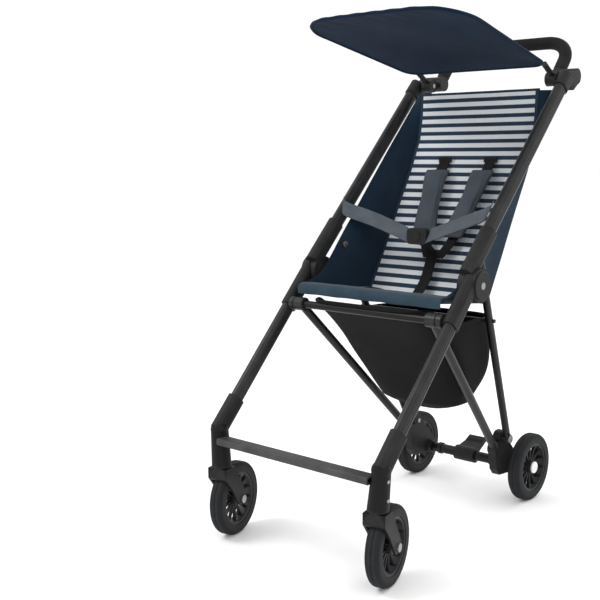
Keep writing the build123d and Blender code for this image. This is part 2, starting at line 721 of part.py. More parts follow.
with BuildPart() as buckle_button:
    with BuildSketch(Plane.XZ.offset(-buckle_y + 10.5 + button_stroke)):
        with Locations((0, buckle_z)):
            Rectangle(button_wide, button_high)
    extrude(amount=button_thick)
save(buckle_button, "buckle_button")

belt_wide = 30.0
belt_start = (housing_inner_x - 3, *upper_point(hip_housing_length + 42)[1:])
belt_end = (buckle_half + 4, buckle_y - 7, buckle_z)
belt_plane = Plane(origin=belt_end, x_dir=Vector(*belt_start) - Vector(*belt_end), z_dir=(0, -1, 0.3))
belt_length = (Vector(*belt_start) - Vector(*belt_end)).length
with BuildPart() as belly_strap:
    with BuildSketch(belt_plane):
        with Locations((belt_length / 2, 0)):
            Rectangle(belt_length, belt_wide)
    extrude(amount=strap_thick)
save_both(belly_strap, "belly_straps")

with BuildPart() as crotch_strap:
    with BuildSketch(side_plane(-strap_wide / 2)):
        with BuildLine():
            Polyline((buckle_y - 6, buckle_z - 18), (buckle_y + 22, seat_rear[1] + 24),
                     (buckle_y + 22 - strap_thick, seat_rear[1] + 24), (buckle_y - 6 - strap_thick, buckle_z - 18),
                     close=True)
        make_face()
    extrude(amount=strap_wide)
save(crotch_strap, "crotch_strap")

# ---- basket ----
basket_top = (-74.0, rod_y + 62, 430.0, 138.0)
basket_middle = (42.0, rod_y + 66, 300.0, 124.0)
basket_floor = (84.0, rod_y + 58, 232.0, 96.0)


def basket_section(level, inset):
    front, rear, z, half = level
    with BuildSketch(Plane.XY.offset(z)) as section:
        with Locations((0, (front + rear) / 2)):
            RectangleRounded(2 * (half - inset), rear - front - 2 * inset, 24)
    return section.sketch


floor_inside = (*basket_floor[:2], basket_floor[2] + basket_wall, basket_floor[3])
with BuildPart() as basket:
    add(basket_section(basket_floor, 0))
    add(basket_section(basket_middle, 0))
    add(basket_section(basket_top, 0))
    loft(ruled=True)
    add(basket_section(floor_inside, basket_wall))
    add(basket_section(basket_middle, basket_wall))
    add(basket_section(basket_top, basket_wall))
    loft(ruled=True, mode=Mode.SUBTRACT)
    add(pin(-rod_half - 5, rod_half + 5, rod_y, cross_rod_z, cross_rod_radius + soft_gap), mode=Mode.SUBTRACT)
save(basket, "storage_basket")
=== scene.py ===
import math
import bpy
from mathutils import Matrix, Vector, noise


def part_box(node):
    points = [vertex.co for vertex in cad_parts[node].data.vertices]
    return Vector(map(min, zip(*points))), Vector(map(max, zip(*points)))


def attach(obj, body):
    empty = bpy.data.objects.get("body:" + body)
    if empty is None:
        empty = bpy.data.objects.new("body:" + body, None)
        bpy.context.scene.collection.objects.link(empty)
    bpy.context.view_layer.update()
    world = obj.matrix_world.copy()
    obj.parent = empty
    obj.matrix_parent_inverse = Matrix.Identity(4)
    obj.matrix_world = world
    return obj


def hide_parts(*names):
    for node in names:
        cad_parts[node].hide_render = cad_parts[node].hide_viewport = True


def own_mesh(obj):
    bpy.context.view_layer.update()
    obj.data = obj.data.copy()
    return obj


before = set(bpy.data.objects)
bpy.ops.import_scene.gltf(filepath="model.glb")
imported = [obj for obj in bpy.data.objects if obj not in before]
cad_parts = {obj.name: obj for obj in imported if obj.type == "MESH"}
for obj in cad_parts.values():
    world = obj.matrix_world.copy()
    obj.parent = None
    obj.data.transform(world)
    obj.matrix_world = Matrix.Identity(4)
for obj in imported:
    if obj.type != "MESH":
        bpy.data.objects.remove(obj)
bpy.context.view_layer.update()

bpy.ops.object.select_all(action="DESELECT")


def mix(a, b, t):
    return a + (b - a) * t


def smoothStep(t):
    t = max(0.0, min(1.0, t))
    return t * t * (3 - 2 * t)


def pathPoint(points, t):
    # a smooth curve through the points, t from 0 at the first to 1 at the last
    spans = len(points) - 1
    place = max(0.0, min(0.999999, t)) * spans
    index = int(place)
    f = place - index
    p1, p2 = Vector(points[index]), Vector(points[index + 1])
    p0 = Vector(points[index - 1]) if index else p1 * 2 - p2
    p3 = Vector(points[index + 2]) if index + 2 <= spans else p2 * 2 - p1
    return 0.5 * ((2 * p1) + (p2 - p0) * f + (2 * p0 - 5 * p1 + 4 * p2 - p3) * f * f
                  + (3 * p1 - p0 - 3 * p2 + p3) * f * f * f)


def active(piece):
    bpy.ops.object.select_all(action="DESELECT")
    bpy.context.view_layer.objects.active = piece
    piece.select_set(True)


def applyAll(piece):
    active(piece)
    for modifier in list(piece.modifiers):
        bpy.ops.object.modifier_apply(modifier=modifier.name)


def settle(piece):
    # leave the piece at the origin, unturned and unscaled, with its place in its mesh
    active(piece)
    bpy.ops.object.transform_apply(location=True, rotation=True, scale=True)
    bpy.ops.object.select_all(action="DESELECT")
    return piece


def outward(piece):
    active(piece)
    bpy.ops.object.mode_set(mode="EDIT")
    bpy.ops.mesh.select_all(action="SELECT")
    bpy.ops.mesh.remove_doubles(threshold=0.00002)
    bpy.ops.mesh.normals_make_consistent(inside=False)
    bpy.ops.object.mode_set(mode="OBJECT")


def finishPiece(piece, body, material, replaced=(), smoothAngle=60):
    # material, smooth shading, body and the hiding of the parts it replaces, in one place for every new piece
    settle(piece)
    piece.data.materials.clear()
    piece.data.materials.append(material)
    active(piece)
    bpy.ops.object.shade_smooth_by_angle(angle=math.radians(smoothAngle))
    bpy.ops.object.select_all(action="DESELECT")
    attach(piece, body)
    if replaced:
        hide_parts(*replaced)
    return piece


def gridSheet(name, across, along, shape, thick, size, rounded=False):
    # a flat grid laid over a surface: shape(u, v) gives each point, size is the cloth's own size for its weave
    bpy.ops.mesh.primitive_grid_add(x_subdivisions=across, y_subdivisions=along, size=1)
    sheet = bpy.context.active_object
    sheet.name = name
    weave = sheet.data.uv_layers.active.data
    for loop in sheet.data.loops:
        flat = sheet.data.vertices[loop.vertex_index].co
        weave[loop.index].uv = ((flat.x + 0.5) * size[0], (flat.y + 0.5) * size[1])
    for vertex in sheet.data.vertices:
        vertex.co = shape(vertex.co.x + 0.5, vertex.co.y + 0.5)
    if thick:
        wall = sheet.modifiers.new("thickness", "SOLIDIFY")
        wall.thickness = thick
        wall.offset = 0
        if rounded:
            soften = sheet.modifiers.new("soft edge", "BEVEL")
            soften.width = thick * 0.3
            soften.segments = 2
            soften.limit_method = "ANGLE"
        applyAll(sheet)
    return sheet


def ribbon(name, points, width, thick, widthWay, along=48):
    # a strap along a smooth path; widthWay is the direction of its width
    def place(u, v):
        return pathPoint(points, v) + Vector(widthWay).normalized() * (u - 0.5) * width
    length = sum((pathPoint(points, (i + 1) / 40) - pathPoint(points, i / 40)).length for i in range(40))
    return gridSheet(name, 6, along, place, thick, (width, length), rounded=True)


def rope(name, points, radius, closed=False):
    # a round hem or seam through the points, turned into a mesh
    bpy.ops.curve.primitive_nurbs_path_add()
    piece = bpy.context.active_object
    piece.name = name
    curve = piece.data
    curve.bevel_depth = radius
    curve.bevel_resolution = 4
    curve.use_fill_caps = True
    curve.splines.clear()
    line = curve.splines.new("POLY")
    line.points.add(len(points) - 1)
    for spot, point in zip(line.points, points):
        spot.co = (*point, 1)
    line.use_cyclic_u = closed
    active(piece)
    bpy.ops.object.convert(target="MESH")
    outward(piece)
    return piece


class Nodes:
    # a short way to write a material's nodes
    def __init__(self, name):
        self.material = bpy.data.materials.new(name)
        self.material.use_nodes = True
        self.tree = self.material.node_tree
        self.shader = self.tree.nodes["Principled BSDF"]

    def add(self, kind, **values):
        node = self.tree.nodes.new(kind)
        for key, value in values.items():
            if key in node.inputs:
                node.inputs[key].default_value = value
            else:
                setattr(node, key, value)
        return node

    def link(self, a, out, b, into):
        self.tree.links.new(a.outputs[out], b.inputs[into])

    def set(self, **values):
        for key, value in values.items():
            self.shader.inputs[key.replace("_", " ")].default_value = value

    def ramp(self, source, out, stops):
        node = self.tree.nodes.new("ShaderNodeValToRGB")
        self.tree.links.new(source.outputs[out], node.inputs["Fac"])
        while len(node.color_ramp.elements) < len(stops):
            node.color_ramp.elements.new(0.5)
        for element, (position, colour) in zip(node.color_ramp.elements, stops):
            element.position = position
            element.color = (*colour, 1)
        return node

    def math(self, operation, a, b=None):
        node = self.tree.nodes.new("ShaderNodeMath")
        node.operation = operation
        for index, value in enumerate((a, b)):
            if value is None:
                continue
            if isinstance(value, tuple):
                self.tree.links.new(value[0].outputs[value[1]], node.inputs[index])
            else:
                node.inputs[index].default_value = value
        return node


def shade(colour, factor):
    return tuple(c * factor for c in colour)


def wovenCloth(name, colour, threads=900, roughness=0.9, sheen=0.25, bump=0.25, mottle=0.18, stripes=None):
    # a plain weave on the cloth's own map, in metres: threads across and along, slow shade changes, fine fuzz
    n = Nodes(name)
    uv = n.add("ShaderNodeUVMap")
    split = n.add("ShaderNodeSeparateXYZ")
    n.link(uv, "UV", split, "Vector")
    warp = n.math("SINE", (n.math("MULTIPLY", (split, "X"), threads * math.pi), "Value"))
    weft = n.math("SINE", (n.math("MULTIPLY", (split, "Y"), threads * math.pi), "Value"))
    weave = n.math("MULTIPLY", (warp, "Value"), (weft, "Value"))
    place = n.add("ShaderNodeTexCoord")
    cloud = n.add("ShaderNodeTexNoise", Scale=14.0, Detail=5.0, Roughness=0.6)
    n.link(place, "Object", cloud, "Vector")
    fuzz = n.add("ShaderNodeTexNoise", Scale=1400.0, Detail=2.0)
    n.link(place, "Object", fuzz, "Vector")
    tone = n.ramp(cloud, "Fac", [(0.3, shade(colour, 1 - mottle)), (0.7, shade(colour, 1 + mottle))])
    base = tone
    if stripes:
        band = n.math("FRACT", (n.math("DIVIDE", (n.math("ADD", (split, "Y"), stripes["shift"]), "Value"),
                                       stripes["pitch"]), "Value"))
        edge = n.math("GREATER_THAN", (band, "Value"), stripes["share"])
        side = n.math("ABSOLUTE", (n.math("SUBTRACT", (split, "X"), stripes["middle"]), "Value"))
        inside = n.math("LESS_THAN", (side, "Value"), stripes["half"])
        top = n.math("LESS_THAN", (split, "Y"), stripes["top"])
        across = n.math("MULTIPLY", (edge, "Value"), (inside, "Value"))
        keep = n.math("MULTIPLY", (across, "Value"), (top, "Value"))
        pale = n.ramp(cloud, "Fac", [(0.3, shade(stripes["colour"], 0.93)), (0.7, stripes["colour"])])
        base = n.add("ShaderNodeMix", data_type="RGBA")
        n.link(keep, "Value", base, 0)
        n.tree.links.new(tone.outputs["Color"], base.inputs[6])
        n.tree.links.new(pale.outputs["Color"], base.inputs[7])
    thread = n.add("ShaderNodeMix", data_type="RGBA", blend_type="MULTIPLY")
    n.tree.links.new(base.outputs[2 if stripes else "Color"], thread.inputs[6])
    depth = n.ramp(weave, "Value", [(0.0, (0.8, 0.8, 0.8)), (1.0, (1.05, 1.05, 1.05))])
    n.tree.links.new(depth.outputs["Color"], thread.inputs[7])
    thread.inputs[0].default_value = 0.6
    n.tree.links.new(thread.outputs[2], n.shader.inputs["Base Color"])
    height = n.math("ADD", (weave, "Value"), (n.math("MULTIPLY", (fuzz, "Fac"), 0.8), "Value"))
    lift = n.add("ShaderNodeBump", Strength=bump, Distance=0.0004)
    n.link(height, "Value", lift, "Height")
    n.link(lift, "Normal", n.shader, "Normal")
    n.set(Roughness=roughness, Sheen_Weight=sheen, Sheen_Roughness=0.5, Specular_IOR_Level=0.12)
    return n.material


def ribbedWebbing(name, colour, ribs=520, roughness=0.8):
    # a strap: ribs along its length, a fine herringbone across
    n = Nodes(name)
    uv = n.add("ShaderNodeUVMap")
    split = n.add("ShaderNodeSeparateXYZ")
    n.link(uv, "UV", split, "Vector")
    rib = n.math("SINE", (n.math("MULTIPLY", (split, "X"), ribs * math.pi * 2), "Value"))
    pick = n.math("SINE", (n.math("MULTIPLY", (split, "Y"), ribs * math.pi * 2.6), "Value"))
    weave = n.math("MULTIPLY", (rib, "Value"), (pick, "Value"))
    place = n.add("ShaderNodeTexCoord")
    cloud = n.add("ShaderNodeTexNoise", Scale=40.0, Detail=4.0)
    n.link(place, "Object", cloud, "Vector")
    tone = n.ramp(cloud, "Fac", [(0.3, shade(colour, 0.82)), (0.7, shade(colour, 1.15))])
    n.link(tone, "Color", n.shader, "Base Color")
    lift = n.add("ShaderNodeBump", Strength=0.5, Distance=0.0005)
    n.link(weave, "Value", lift, "Height")
    n.link(lift, "Normal", n.shader, "Normal")
    n.set(Roughness=roughness, Sheen_Weight=0.04, Specular_IOR_Level=0.2)
    return n.material


def mouldedSurface(name, colour, roughness=0.45, grain=900.0, grainDepth=0.12, wear=0.12, metallic=0.0, coat=0.0,
                   gleam=0.14):
    # moulded plastic, powder coat or rubber: fine grain, cloudy gloss, paler worn edges and faint dust
    n = Nodes(name)
    place = n.add("ShaderNodeTexCoord")
    fine = n.add("ShaderNodeTexNoise", Scale=grain, Detail=3.0, Roughness=0.6)
    n.link(place, "Object", fine, "Vector")
    cloud = n.add("ShaderNodeTexNoise", Scale=22.0, Detail=6.0, Roughness=0.65)
    n.link(place, "Object", cloud, "Vector")
    geometry = n.add("ShaderNodeNewGeometry")
    edge = n.ramp(geometry, "Pointiness", [(0.5, (0, 0, 0)), (0.58, (1, 1, 1))])
    rub = n.math("MULTIPLY", (edge, "Color"), (cloud, "Fac"))
    rubbed = n.math("MULTIPLY", (rub, "Value"), wear)
    tone = n.ramp(cloud, "Fac", [(0.3, shade(colour, 0.85)), (0.75, shade(colour, 1.25))])
    worn = n.add("ShaderNodeMix", data_type="RGBA")
    n.link(rubbed, "Value", worn, 0)
    n.tree.links.new(tone.outputs["Color"], worn.inputs[6])
    worn.inputs[7].default_value = (0.3, 0.3, 0.31, 1)
    n.tree.links.new(worn.outputs[2], n.shader.inputs["Base Color"])
    gloss = n.ramp(cloud, "Fac", [(0.25, (roughness * 0.85,) * 3), (0.75, (min(1, roughness * 1.2),) * 3)])
    n.link(gloss, "Color", n.shader, "Roughness")
    lift = n.add("ShaderNodeBump", Strength=grainDepth, Distance=0.0003)
    n.link(fine, "Fac", lift, "Height")
    n.link(lift, "Normal", n.shader, "Normal")
    n.set(Metallic=metallic, Coat_Weight=coat, Coat_Roughness=0.3, Specular_IOR_Level=0.5 if metallic else gleam)
    return n.material


print("materials")
satinBlackMetal = mouldedSurface("satinBlackMetal", (0.0045, 0.0045, 0.005), 0.3, 1500, 0.08, 0.1, gleam=0.2)
blackPlastic = mouldedSurface("blackPlastic", (0.0045, 0.0045, 0.005), 0.5, 1100, 0.2, 0.08)
ribbedBar = mouldedSurface("ribbedBar", (0.005, 0.005, 0.0055), 0.42, 1300, 0.25, 0.3)
tyreRubber = mouldedSurface("tyreRubber", (0.011, 0.0115, 0.0125), 0.72, 700, 0.35, 0.1)
wheelPlastic = mouldedSurface("wheelPlastic", (0.008, 0.008, 0.009), 0.4, 900, 0.1, 0.2)
greyHub = mouldedSurface("greyHub", (0.78, 0.79, 0.8), 0.35, 900, 0.08, 0.1)
zincSteel = mouldedSurface("zincSteel", (0.3, 0.3, 0.31), 0.35, 1500, 0.12, 0.3, 0.9)
gripFoam = mouldedSurface("gripFoam", (0.007, 0.007, 0.0075), 0.8, 1600, 0.5, 0.05)
navyCloth = wovenCloth("navyCloth", (0.0085, 0.022, 0.041), 1000, sheen=0.06)
canopyCloth = wovenCloth("canopyCloth", (0.003, 0.013, 0.032), 1000, sheen=0.02)
basketCloth = wovenCloth("basketCloth", (0.0055, 0.0055, 0.006), 900, sheen=0.02)
slateCloth = wovenCloth("slateCloth", (0.022, 0.044, 0.062), 1000, sheen=0.1)
slatePadCloth = wovenCloth("slatePadCloth", (0.055, 0.066, 0.08), 1000, sheen=0.08)
greyWebbing = ribbedWebbing("greyWebbing", (0.07, 0.082, 0.097))
blackWebbing = ribbedWebbing("blackWebbing", (0.005, 0.005, 0.006))

cadFinish = {
    "tyre": tyreRubber, "rim": wheelPlastic, "hub_cap": greyHub, "bolt": zincSteel, "pins": zincSteel,
    "screws": zincSteel, "rear_axles": zincSteel, "handle_grip": gripFoam, "leg_tube": satinBlackMetal,
    "upper_tube": satinBlackMetal, "side_link": satinBlackMetal, "basket_rod": satinBlackMetal,
    "front_crossbar": satinBlackMetal, "rear_axle_beam": satinBlackMetal, "footrest": ribbedBar,
    "handle_tube": zincSteel,
}
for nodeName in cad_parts:
    finish = next((m for key, m in cadFinish.items() if key in nodeName), blackPlastic)
    finishes = bpy.data.objects[nodeName].data.materials
    finishes.clear()
    finishes.append(finish)


# places read from the frame
backLow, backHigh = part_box("seat_back")
baseLow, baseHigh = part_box("seat_base")
panelLow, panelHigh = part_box("canopy_panel")
tubeLow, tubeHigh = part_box("upper_tube_left")
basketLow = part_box("storage_basket")[0]
crossLow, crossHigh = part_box("front_crossbar")
buckleLow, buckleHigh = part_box("harness_buckle")
upperLean = math.radians(45.8)      # of the upper tubes, above level
upperWay = Vector((0, math.cos(upperLean), math.sin(upperLean)))
tubeMid = (Vector(tubeLow) + Vector(tubeHigh)) / 2
tubeInner = tubeLow[0] - 0.002      # just inside the left upper tube


def tubePoint(distance, x=None, behind=0.0):
    # a point on the left upper tube's line; behind moves it square to the tube, towards the seat's back
    point = tubeMid + upperWay * distance + Vector((0, upperWay.z, -upperWay.y)) * behind
    return Vector((tubeMid.x if x is None else x, point.y, point.z))


print("seat")
seat = {
    # share of the back's height, share of its depth
    "backProfile": [(0.0, 0.04), (0.2, 0.29), (0.4, 0.53), (0.6, 0.78), (0.76, 0.95), (0.88, 0.99), (1.0, 1.0)],
    "half": 0.150, "frontHalf": 0.1745,        # half widths at the back and at the front edge
    "cloth": 0.0022, "baseCloth": 0.004, "seam": 0.0016,
    "backInset": 0.003, "backBillow": 0.008, "backRipple": 0.0025,
    "sideHollow": 0.007, "sideRipple": 0.0018, "sideFlat": (0.2, 0.52),
    "sag": 0.012, "baseRipple": 0.002, "baseFlat": (0.35, 0.21),
    "flapOver": 0.034, "flapDrop": 0.018, "flapSway": 0.0012, "flapFlat": (0.36, 0.055),
    "stripePitch": 0.0205, "stripeShare": 0.47, "stripeHalf": 0.143,
}


def backY(z):
    share = (z - backLow[2]) / (backHigh[2] - backLow[2])
    profile = seat["backProfile"]
    for (a, ya), (b, yb) in zip(profile, profile[1:]):
        if share <= b or b == 1.0:
            return mix(backLow[1], backHigh[1], mix(ya, yb, (share - a) / (b - a)))
    return backHigh[1]


def backPoint(u, v):
    z = mix(backLow[2], backHigh[2], v)
    x = mix(-seat["half"], seat["half"], u)
    billow = math.sin(math.pi * u) * math.sin(math.pi * v) * seat["backBillow"]
    ripple = noise.noise(Vector((x * 16, z * 9, 3))) * seat["backRipple"]
    return Vector((x, backY(z) - seat["backInset"] + billow + ripple, z))


backLength = sum((backPoint(0.5, (i + 1) / 40) - backPoint(0.5, i / 40)).length for i in range(40))
stripedCloth = wovenCloth("stripedCloth", (0.016, 0.033, 0.06), 1000, stripes={
    "pitch": seat["stripePitch"], "share": seat["stripeShare"], "shift": 0.004, "middle": seat["half"],
    "half": seat["stripeHalf"], "top": backLength - 0.006, "colour": (0.72, 0.75, 0.78)})
seatBack = gridSheet("seatBack", 60, 80, backPoint, seat["cloth"], (2 * seat["half"], backLength))
finishPiece(seatBack, "upper_frame", stripedCloth, ("seat_back",))


def sideFront(v, side):
    # the edge sewn along the upper tube, from the seat's front corner to the top
    spots = [Vector((seat["frontHalf"], baseLow[1] + 0.004, baseHigh[2] - 0.002)),
             Vector((seat["frontHalf"] - 0.002, -0.012, 0.523)),
             tubePoint(-0.20, tubeInner - 0.005, 0.014), tubePoint(-0.06, tubeInner - 0.002, 0.012),
             tubePoint(0.08, tubeInner, 0.010), tubePoint(0.205, tubeInner - 0.004, 0.006)]
    point = pathPoint(spots, v)
    return Vector((side * point.x, point.y, point.z))


def sideShape(side):
    def place(u, v):
        z = mix(backLow[2], backHigh[2] - 0.004, v)
        rear = Vector((side * (seat["half"] + 0.0015), backY(z) - seat["backInset"], z))
        front = sideFront(v, side)
        point = front.lerp(rear, u)
        hollow = math.sin(math.pi * u) * math.sin(math.pi * min(1, v * 1.1)) * seat["sideHollow"]
        wave = noise.noise(Vector((point.y * 11, point.z * 8, side * 5)))
        ripple = wave * seat["sideRipple"] * math.sin(math.pi * u)
        return point - Vector((side * (hollow - ripple), 0, 0))
    return place


for side, sideName in ((1, "left"), (-1, "right")):
    panel = gridSheet(f"seatSide_{sideName}", 36, 70, sideShape(side), seat["cloth"], (0.2, 0.5))
    if side < 0:
        outward(panel)
    finishPiece(panel, "upper_frame", navyCloth, (f"seat_side_{sideName}",))
    seam = rope(f"seatSeam_{sideName}", [backPoint(0.5 + side * 0.5, i / 30) + Vector((side * 0.001, 0, 0))
                                         for i in range(31)], seat["seam"])
    finishPiece(seam, "upper_frame", navyCloth)


def basePoint(u, v):
    # v runs from the seat's rear to its front edge
    half = mix(seat["half"], seat["frontHalf"], smoothStep((v - 0.25) / 0.5))
    x = mix(-half, half, u)
    y = mix(backLow[1] + 0.008, baseLow[1] + 0.006, v)
    dip = seat["sag"] * math.sin(math.pi * u) ** 0.7 * math.sin(math.pi * min(1, v)) if 0 < u < 1 else 0
    ripple = noise.noise(Vector((x * 14, y * 14, 1))) * seat["baseRipple"]
    return Vector((x, y, mix(backLow[2] + 0.001, baseHigh[2] - 0.001, v) - dip + ripple))


seatBase = gridSheet("seatBase", 60, 44, basePoint, seat["baseCloth"], seat["baseFlat"])
finishPiece(seatBase, "upper_frame", navyCloth, ("seat_base",))


def flapPoint(u, v):
    # v runs from the seat over its front edge and down
    front = baseLow[1] + 0.002
    profile = [(front + seat["flapOver"], baseHigh[2] + 0.0015), (front + 0.008, baseHigh[2] + 0.0025),
               (front - 0.003, baseHigh[2] - 0.004), (front - 0.0035, baseHigh[2] - seat["flapDrop"])]
    y, z = pathPoint([Vector((a, b, 0)) for a, b in profile], v).xy
    half = seat["frontHalf"] + 0.001
    sway = noise.noise(Vector((u * 9, v * 3, 8))) * seat["flapSway"]
    return Vector((mix(-half, half, u), y + sway, z + sway))


seatFlap = gridSheet("seatFlap", 70, 12, flapPoint, seat["cloth"], seat["flapFlat"], rounded=True)
finishPiece(seatFlap, "upper_frame", slateCloth)


print("canopy")
canopy = {
    "rearHalf": 0.172, "frontHalf": 0.193, "rearRound": 0.03, "frontRound": 0.09,
    "dome": 0.012, "bow": 0.012,               # rise in the middle, and how far the front edge bows out
    "sag": 0.006, "pucker": 0.0005,
    "cloth": 0.003, "hem": 0.0035, "flat": (0.38, 0.40),
}
canopyRear = Vector((0, panelHigh[1] - 0.001, panelLow[2] + 0.002))
canopyFront = Vector((0, panelLow[1], panelHigh[2] - 0.004))


def canopyPoint(u, v):
    # a square drawn out to a rounded outline, ring by ring; v runs from the rear edge to the front one
    a, b = 2 * u - 1, 2 * v - 1
    ring = max(abs(a), abs(b), 1e-6)
    length = (canopyFront - canopyRear).length
    px, pd = a / ring, b / ring
    halfLong = length / 2
    half = mix(canopy["rearHalf"], canopy["frontHalf"], (pd + 1) / 2)
    radius = canopy["frontRound"] if pd > 0 else canopy["rearRound"]
    x, d = px * half, pd * halfLong
    overX, overD = abs(x) - (half - radius), abs(d) - (halfLong - radius)
    if overX > 0 and overD > 0:
        shrink = radius / math.hypot(overX, overD)
        x = math.copysign(half - radius + overX * shrink, x)
        d = math.copysign(halfLong - radius + overD * shrink, d)
    x, d = x * ring, d * ring
    if d > 0:
        d += canopy["bow"] * (1 - (x / half) ** 2) * (d / halfLong) ** 2 * 0.6
    spine = canopyRear.lerp(canopyFront, 0.5 + d / length)
    rise = canopy["dome"] * (1 - ring ** 2.2)
    pucker = canopy["pucker"] * ring ** 3 * math.sin(x * 150 + d * 60) * smoothStep(d / halfLong)
    sag = noise.noise(Vector((x * 7, d * 6, 2))) * canopy["sag"] * (1 - ring ** 4)
    return Vector((x, spine.y, spine.z + rise + pucker + sag))


canopySheet = gridSheet("canopySheet", 84, 92, canopyPoint, canopy["cloth"], canopy["flat"])
finishPiece(canopySheet, "canopy", canopyCloth, ("canopy_panel", "canopy_wire"))
rimSpots = []
for i in range(160):
    t = i / 160 * 4
    edge, f = int(t), (t % 1)
    u, v = ((f, 0), (1, f), (1 - f, 1), (0, 1 - f))[edge]
    rimSpots.append(canopyPoint(u, v))
canopyHem = rope("canopyHem", rimSpots, canopy["hem"], closed=True)
finishPiece(canopyHem, "canopy", canopyCloth)


print("basket")
basket = {
    "top": 0.432, "wall": 0.0022, "hem": 0.0035, "bulge": 0.006, "sag": 0.02, "crease": 0.007,
    # y of its front and rear and its half width, from the hem down to the floor
    "front": (-0.097, -0.012, 0.046, 0.088), "rear": (0.188, 0.193, 0.190, 0.180),
    "half": (0.139, 0.131, 0.122, 0.096),
    "wallShare": 0.72,                         # of the cloth from hem to floor's middle, the wall's share
    "weave": (0.84, 0.34), "flat": (0.84, 0.40),
}


def basketSize(key, down):
    return pathPoint([(value, 0, 0) for value in basket[key]], down).x


def basketPoint(u, v):
    # u runs round the bag, v from its hem down the wall and in to the middle of the floor
    angle = 2 * math.pi * u
    wall = basket["wallShare"]
    down = min(1.0, v / wall)
    inward = 1.0 if v <= wall else max(0.0, (1 - v) / (1 - wall))
    front, rear, half = (basketSize(key, down) for key in ("front", "rear", "half"))
    square = 2 / mix(7, 3.4, down)
    c, s = math.cos(angle), math.sin(angle)
    x = math.copysign(abs(c) ** square, c) * half * inward
    side = math.copysign(abs(s) ** square, s)
    y = mix(front, rear, 0.5) + side * (rear - front) / 2 * inward
    top = mix(basket["top"], crossHigh[2] - 0.004, smoothStep(-side * 2 - 0.6))
    z = mix(top, basketLow[2] + 0.016, down) - (1 - inward ** 2) * basket["sag"]
    puff = basket["bulge"] * math.sin(math.pi * down) * inward
    fold = noise.noise(Vector((x * 12, y * 12, z * 7)))
    crease = fold * basket["crease"] * math.sin(math.pi * min(1, down * 0.9 + 0.05))
    return Vector((x + c * (puff + crease), y + s * (puff * 0.5 + crease), z + crease * 0.4))


basketBag = gridSheet("basketBag", 96, 60, basketPoint, 0, basket["weave"])
outward(basketBag)
bagWall = basketBag.modifiers.new("wall", "SOLIDIFY")
bagWall.thickness = basket["wall"]
bagWall.offset = -1
applyAll(basketBag)
finishPiece(basketBag, "front_frame", basketCloth, ("storage_basket",))
basketHem = rope("basketHem", [basketPoint(i / 96, 0.0) + Vector((0, 0, 0.001)) for i in range(96)],
                 basket["hem"], closed=True)
finishPiece(basketHem, "front_frame", basketCloth)


print("harness")
harness = {
    "strapWide": 0.026, "strapThick": 0.0018, "beltWide": 0.034, "beltThick": 0.0024,
    "padLong": 0.135, "padWide": 0.058, "padThick": 0.016, "padLow": 0.78, "padHigh": 0.24,
    "slotX": 0.058, "slotZ": 0.757, "sliderWide": 0.034, "sliderHigh": 0.012, "sliderThick": 0.0022,
    # x, z and how far in front of the seat's back each shoulder strap passes, from the slot down to the buckle
    "shoulderWay": [(0.057, 0.712, 0.019), (0.050, 0.665, 0.019), (0.042, 0.617, 0.020), (0.028, 0.575, 0.020),
                    (0.012, 0.548, 0.020)],
    "looseWide": 0.024, "looseThick": 0.0018,
}
buckleMid = (Vector(buckleLow) + Vector(buckleHigh)) / 2
straps = []


def sliderShape(slot):
    def place(u, v):
        return slot + Vector(((u - 0.5) * harness["sliderWide"], -0.002, (v - 0.5) * harness["sliderHigh"]))
    return place


for side, sideName in ((1, "left"), (-1, "right")):
    slot = Vector((side * harness["slotX"], backY(harness["slotZ"]) - 0.004, harness["slotZ"]))
    way = [slot, slot + Vector((0, -0.014, -0.018))]
    way += [Vector((side * x, backY(z) - ahead, z)) for x, z, ahead in harness["shoulderWay"]]
    strap = ribbon(f"shoulderStrap_{sideName}", way, harness["strapWide"], harness["strapThick"],
                   (1, -0.1 * side, 0))
    finishPiece(strap, "upper_frame", blackWebbing, ("shoulder_straps",))
    straps.append((side, sideName, way))
    slider = gridSheet(f"slotFrame_{sideName}", 4, 4, sliderShape(slot), harness["sliderThick"],
                       (harness["sliderWide"], harness["sliderHigh"]), rounded=True)
    finishPiece(slider, "upper_frame", blackPlastic)
    beltWay = [tubePoint(-0.155, tubeLow[0] + 0.004, -0.019), tubePoint(-0.165, tubeInner - 0.004, -0.012),
               Vector((0.105, mix(buckleMid.y, tubePoint(-0.165).y, 0.45), 0.628)),
               buckleMid + Vector((0.026, 0.0, 0.002))]
    beltWay = [Vector((side * p.x, p.y, p.z)) for p in beltWay]
    tilt = Vector((side * 0.25, 0.45, 1))
    belt = ribbon(f"bellyStrap_{sideName}", beltWay, harness["beltWide"], harness["beltThick"], tilt, along=60)
    finishPiece(belt, "upper_frame", greyWebbing, ("belly_straps",))


